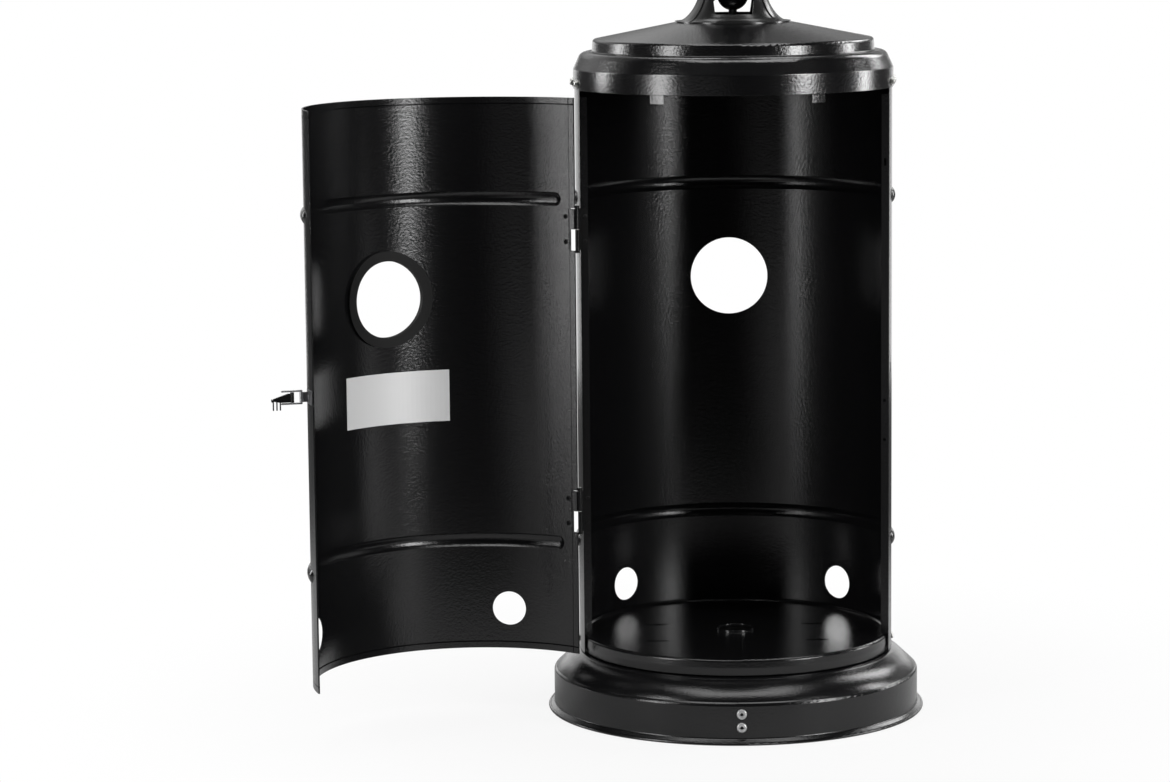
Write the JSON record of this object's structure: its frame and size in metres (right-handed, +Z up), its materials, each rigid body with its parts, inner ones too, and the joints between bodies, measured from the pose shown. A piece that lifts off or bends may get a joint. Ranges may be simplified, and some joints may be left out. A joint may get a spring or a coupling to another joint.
{
  "type": "patio heater",
  "caption": "Free-standing gas patio heater: round base, cylindrical bottle housing with a hinged door, stepped cap, post, burner head and round reflector.",
  "frame": {"origin": "on the floor at the vertical axis of the round housing", "axes": "+Z up, -Y towards the front where the door opening is, +X to the right when facing the front"},
  "size_m": [0.9482, 0.8118, 2.155],
  "materials": {
    "black_coat": "fine-textured black powder coat, satin",
    "dark_coat": "satin black powder coat",
    "zinc": "bright zinc plate",
    "steel": "brushed stainless steel",
    "chrome": "polished chrome plate",
    "grey_coat": "light grey coat",
    "iron": "black-painted casting",
    "brass": "turned brass",
    "aluminium": "spun aluminium, satin",
    "rubber": "black rubber",
    "plastic": "black plastic",
    "ceramic": "glazed ceramic"
  },
  "bodies": {
    "stand": {"base_shell": "black_coat", "floor_pan": "dark_coat", "floor_support_bar": "zinc", "skirt_screws": "zinc", "skirt_nuts": "zinc", "rear_shell": "black_coat", "shell_screws": "zinc", "jamb_hinge_leaves": "dark_coat", "jamb_rivets": "dark_coat", "hinge_pins": "zinc", "cap": "black_coat", "cap_screws": "zinc", "cap_washers": "zinc", "neck": "iron", "neck_bolts": "zinc", "gas_riser": "steel", "riser_ball": "iron", "riser_washers": "zinc", "riser_nuts": "brass", "hose_nipple": "brass", "post": "black_coat", "post_screws": "zinc", "burner_bracket": "zinc", "control_housing": "black_coat", "housing_screws": "zinc", "gas_valve": "aluminium", "igniter_module": "plastic", "tilt_switch": "plastic", "venturi_tube": "steel", "burner_plate": "steel", "burner_head": "steel", "pilot_bracket": "steel", "thermocouple": "steel", "spark_electrode": "ceramic", "emitter_screen": "steel", "emitter_top": "steel", "reflector_studs": "steel", "reflector": "aluminium", "reflector_nuts": "chrome"},
    "door": {"door_shell": "black_coat", "door_hinge_leaves": "dark_coat", "door_rivets": "dark_coat", "window_trim": "rubber", "latch_base": "chrome", "latch_rivets": "chrome"},
    "latch_bail": {"latch_bail": "chrome"},
    "latch_lever": {"latch_lever": "dark_coat"},
    "knob_slide": {"valve_shaft": "steel", "thrust_washer": "brass"},
    "knob": {"control_knob": "plastic"},
    "igniter_button": {"igniter_button": "plastic"}
  },
  "joints": [
    {"name": "door_hinge", "type": "hinge", "parent": "stand", "child": "door", "pos_m": [-0.18934, -0.05144, 0.4], "axis": [0, 0, 1], "range_deg": [-25.7, 144.3]},
    {"name": "latch_bail_hinge", "type": "hinge", "parent": "door", "child": "latch_bail", "pos_m": [-0.50788, -0.25339, 0.422], "axis": [0, 0, 1], "range_deg": [-20, 90]},
    {"name": "latch_lever_hinge", "type": "hinge", "parent": "latch_bail", "child": "latch_lever", "pos_m": [-0.51848, -0.25632, 0.422], "axis": [0, 0, 1], "range_deg": [-65, 14]},
    {"name": "knob_push", "type": "slide", "parent": "stand", "child": "knob_slide", "axis": [0, 1, 0], "range_m": [0, 0.0045], "stiffness_N_per_m": 500, "springref_m": -0.003},
    {"name": "knob_turn", "type": "hinge", "parent": "knob_slide", "child": "knob", "pos_m": [0, -0.11, 1.741], "axis": [0, -1, 0], "range_deg": [0, 200]},
    {"name": "igniter_press", "type": "slide", "parent": "stand", "child": "igniter_button", "axis": [-0.5592, 0.829, 0], "range_m": [0, 0.0045], "stiffness_N_per_m": 800, "springref_m": -0.003}
  ]
}
